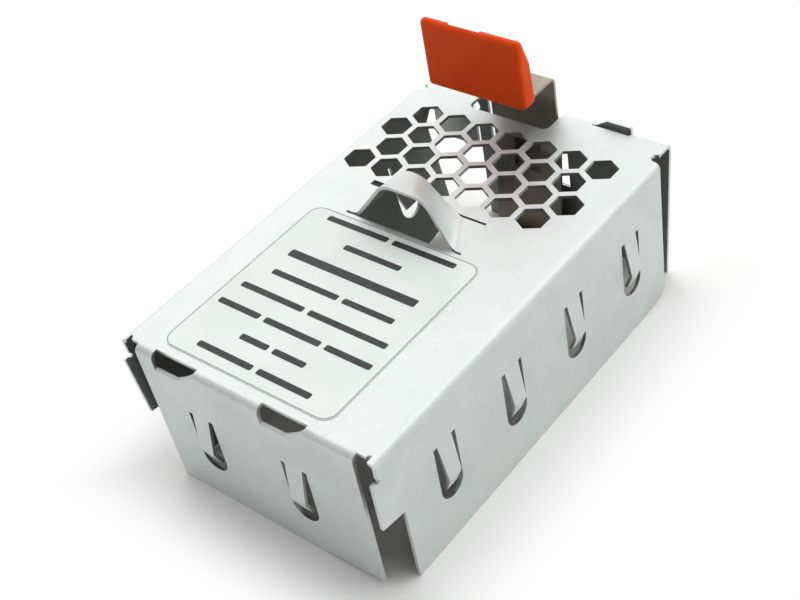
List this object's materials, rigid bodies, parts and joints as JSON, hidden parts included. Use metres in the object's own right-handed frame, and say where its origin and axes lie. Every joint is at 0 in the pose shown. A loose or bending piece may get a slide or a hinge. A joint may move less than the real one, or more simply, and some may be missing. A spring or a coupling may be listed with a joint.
{
  "type": "power supply blank filler",
  "caption": "Open-bottomed box folded from thin sheet that closes an empty power supply bay, with a vented face, arched finger pull, spring fingers and a sprung latch with a release grip.",
  "frame": {"origin": "middle of the open rim's plane, at the centre of the box", "axes": "+Z from the open rim to the perforated face, +Y to the wall with the latch, +X to the wall on the right when the latch is at the back"},
  "size_m": [0.0556, 0.0879, 0.0509],
  "materials": {
    "zinc_plated_steel": "bright zinc plating, satin",
    "spring_steel": "bare spring steel, satin",
    "orange_plastic": "moulded, fine satin grain",
    "label_film": "matte white film"
  },
  "bodies": {
    "shell": {"filler_shell": "zinc_plated_steel", "label": "label_film"},
    "latch": {"release_grip": "orange_plastic", "latch_spring": "spring_steel"}
  },
  "joints": [
    {"name": "latch_flex", "type": "hinge", "parent": "shell", "child": "latch", "pos_m": [-0.0042, 0.0384, 0.003], "axis": [1, 0, 0], "range_deg": [0, 7], "stiffness_Nm_per_rad": 2.5, "deforming": ["latch_spring"]}
  ]
}
